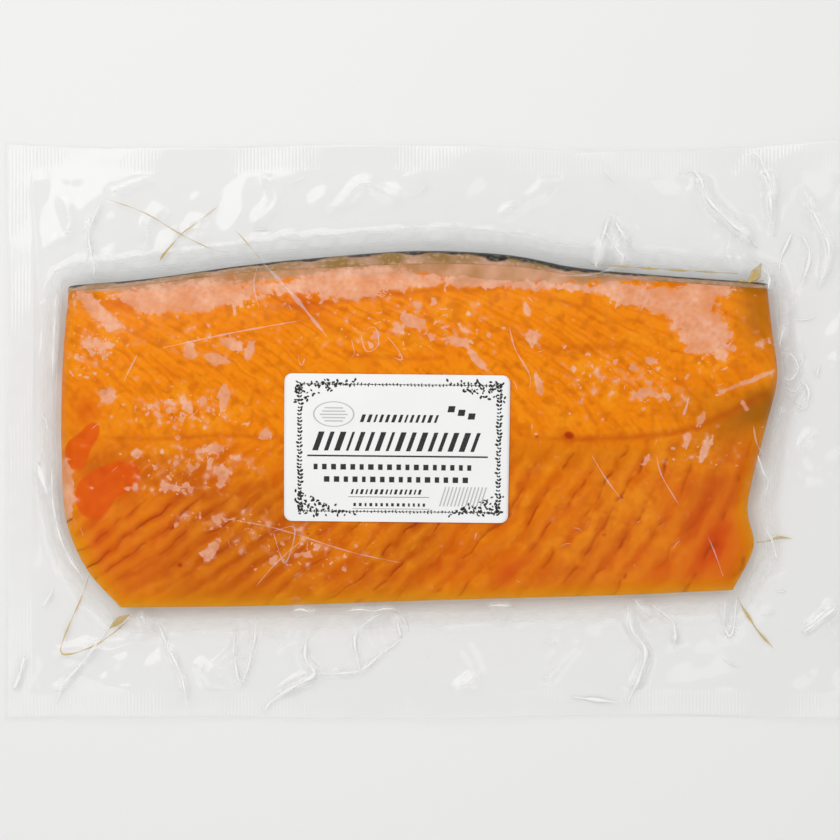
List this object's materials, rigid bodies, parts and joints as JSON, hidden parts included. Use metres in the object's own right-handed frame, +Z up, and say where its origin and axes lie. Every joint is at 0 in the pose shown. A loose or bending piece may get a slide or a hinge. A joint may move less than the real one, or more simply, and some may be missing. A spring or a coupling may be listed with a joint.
{
  "type": "pack of smoked salmon",
  "caption": "Flat clear vacuum pouch holding one skin-on side of smoked salmon, flesh up, with a paper label stuck on top. It lies on a table and keeps the fish sealed.",
  "frame": {"origin": "centre of the pouch's outline, on the surface that the pack lies on", "axes": "+X along the pack towards the end with the wider border, +Y from the fish's belly edge to its back edge, +Z up"},
  "size_m": [0.3, 0.2, 0.0212],
  "materials": {
    "clear_film": "clear, glossy, creased vacuum film",
    "fish_skin": "wet, scaly, dark along the back and silver below",
    "salmon_flesh": "moist, translucent, with darker lines between the flakes",
    "label_paper": "coated white paper with black print"
  },
  "bodies": {
    "root": {"pouch": "clear_film", "skin": "fish_skin", "fillet": "salmon_flesh", "label": "label_paper"}
  },
  "joints": []
}
